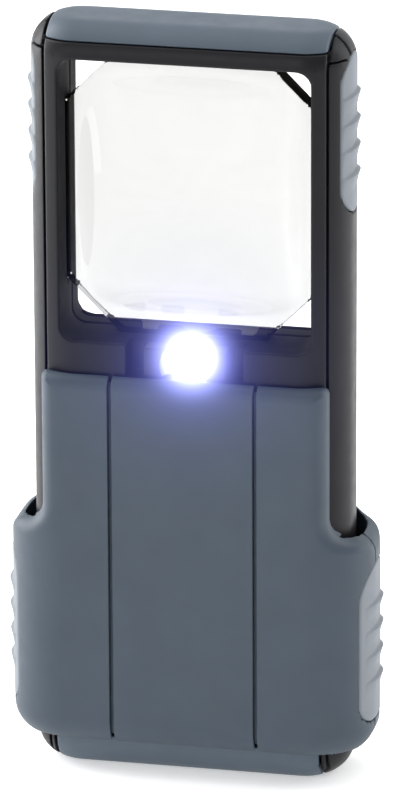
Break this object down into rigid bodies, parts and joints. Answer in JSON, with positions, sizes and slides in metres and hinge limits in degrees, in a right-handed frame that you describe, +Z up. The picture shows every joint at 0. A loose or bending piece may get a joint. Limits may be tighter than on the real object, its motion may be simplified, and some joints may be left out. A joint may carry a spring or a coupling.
{
  "type": "sliding lighted pocket magnifier",
  "caption": "Pocket magnifier: a slim black body with a square lens window and an LED, holding AAA cells, and a two-part sleeve that slides up to cover the lens",
  "frame": {"origin": "centre of the bottom of the object's bounding box, on the flat underside of the battery door's end cap", "axes": "+Z runs up along the body from the battery end to the lens end, -Y is the front where the LED and the lens are looked at, +X is to the right seen from the front"},
  "size_m": [0.0492, 0.0172, 0.101],
  "materials": {
    "black_plastic": "fine satin moulded ABS",
    "blue_grey_plastic": "fine matt moulded ABS",
    "light_grey_grip": "soft matt overmould",
    "lens_acrylic": "polished clear acrylic",
    "led_epoxy": "water-clear epoxy, lit white",
    "nickel_plate": "nickel plated",
    "screw_steel": "dark zinc plated",
    "cell_jacket": "plain coloured foil jacket",
    "board_green": "solder mask",
    "resistor_body": "matt ceramic"
  },
  "bodies": {
    "body": {"front_shell": "black_plastic", "rear_shell": "black_plastic", "top_cap": "blue_grey_plastic", "upper_grip_left": "light_grey_grip", "upper_grip_right": "light_grey_grip", "lens": "lens_acrylic", "led": "led_epoxy", "led_holder": "black_plastic", "circuit_board": "board_green", "resistor": "resistor_body", "switch_pad_left": "nickel_plate", "switch_pad_right": "nickel_plate", "shell_screw_left": "screw_steel", "shell_screw_right": "screw_steel", "battery_left": "cell_jacket", "battery_centre": "cell_jacket", "battery_right": "cell_jacket", "spring_left": "nickel_plate", "spring_centre": "nickel_plate", "spring_right": "nickel_plate", "contact_bottom_bridge": "nickel_plate", "contact_bottom_single": "nickel_plate", "contact_top_single": "nickel_plate", "contact_top_bridge": "nickel_plate"},
    "battery_door": {"battery_door": "blue_grey_plastic"},
    "sleeve": {"front_cover": "blue_grey_plastic", "rear_cover": "blue_grey_plastic", "lower_grip_left": "light_grey_grip", "lower_grip_right": "light_grey_grip", "switch_bridge": "nickel_plate"}
  },
  "joints": [
    {"name": "sleeve_slide", "type": "slide", "parent": "body", "child": "sleeve", "axis": [0, 0, 1], "range_m": [0, 0.0436]},
    {"name": "battery_door_slide", "type": "slide", "parent": "body", "child": "battery_door", "axis": [0, 0, -1], "range_m": [0, 0.05]}
  ]
}
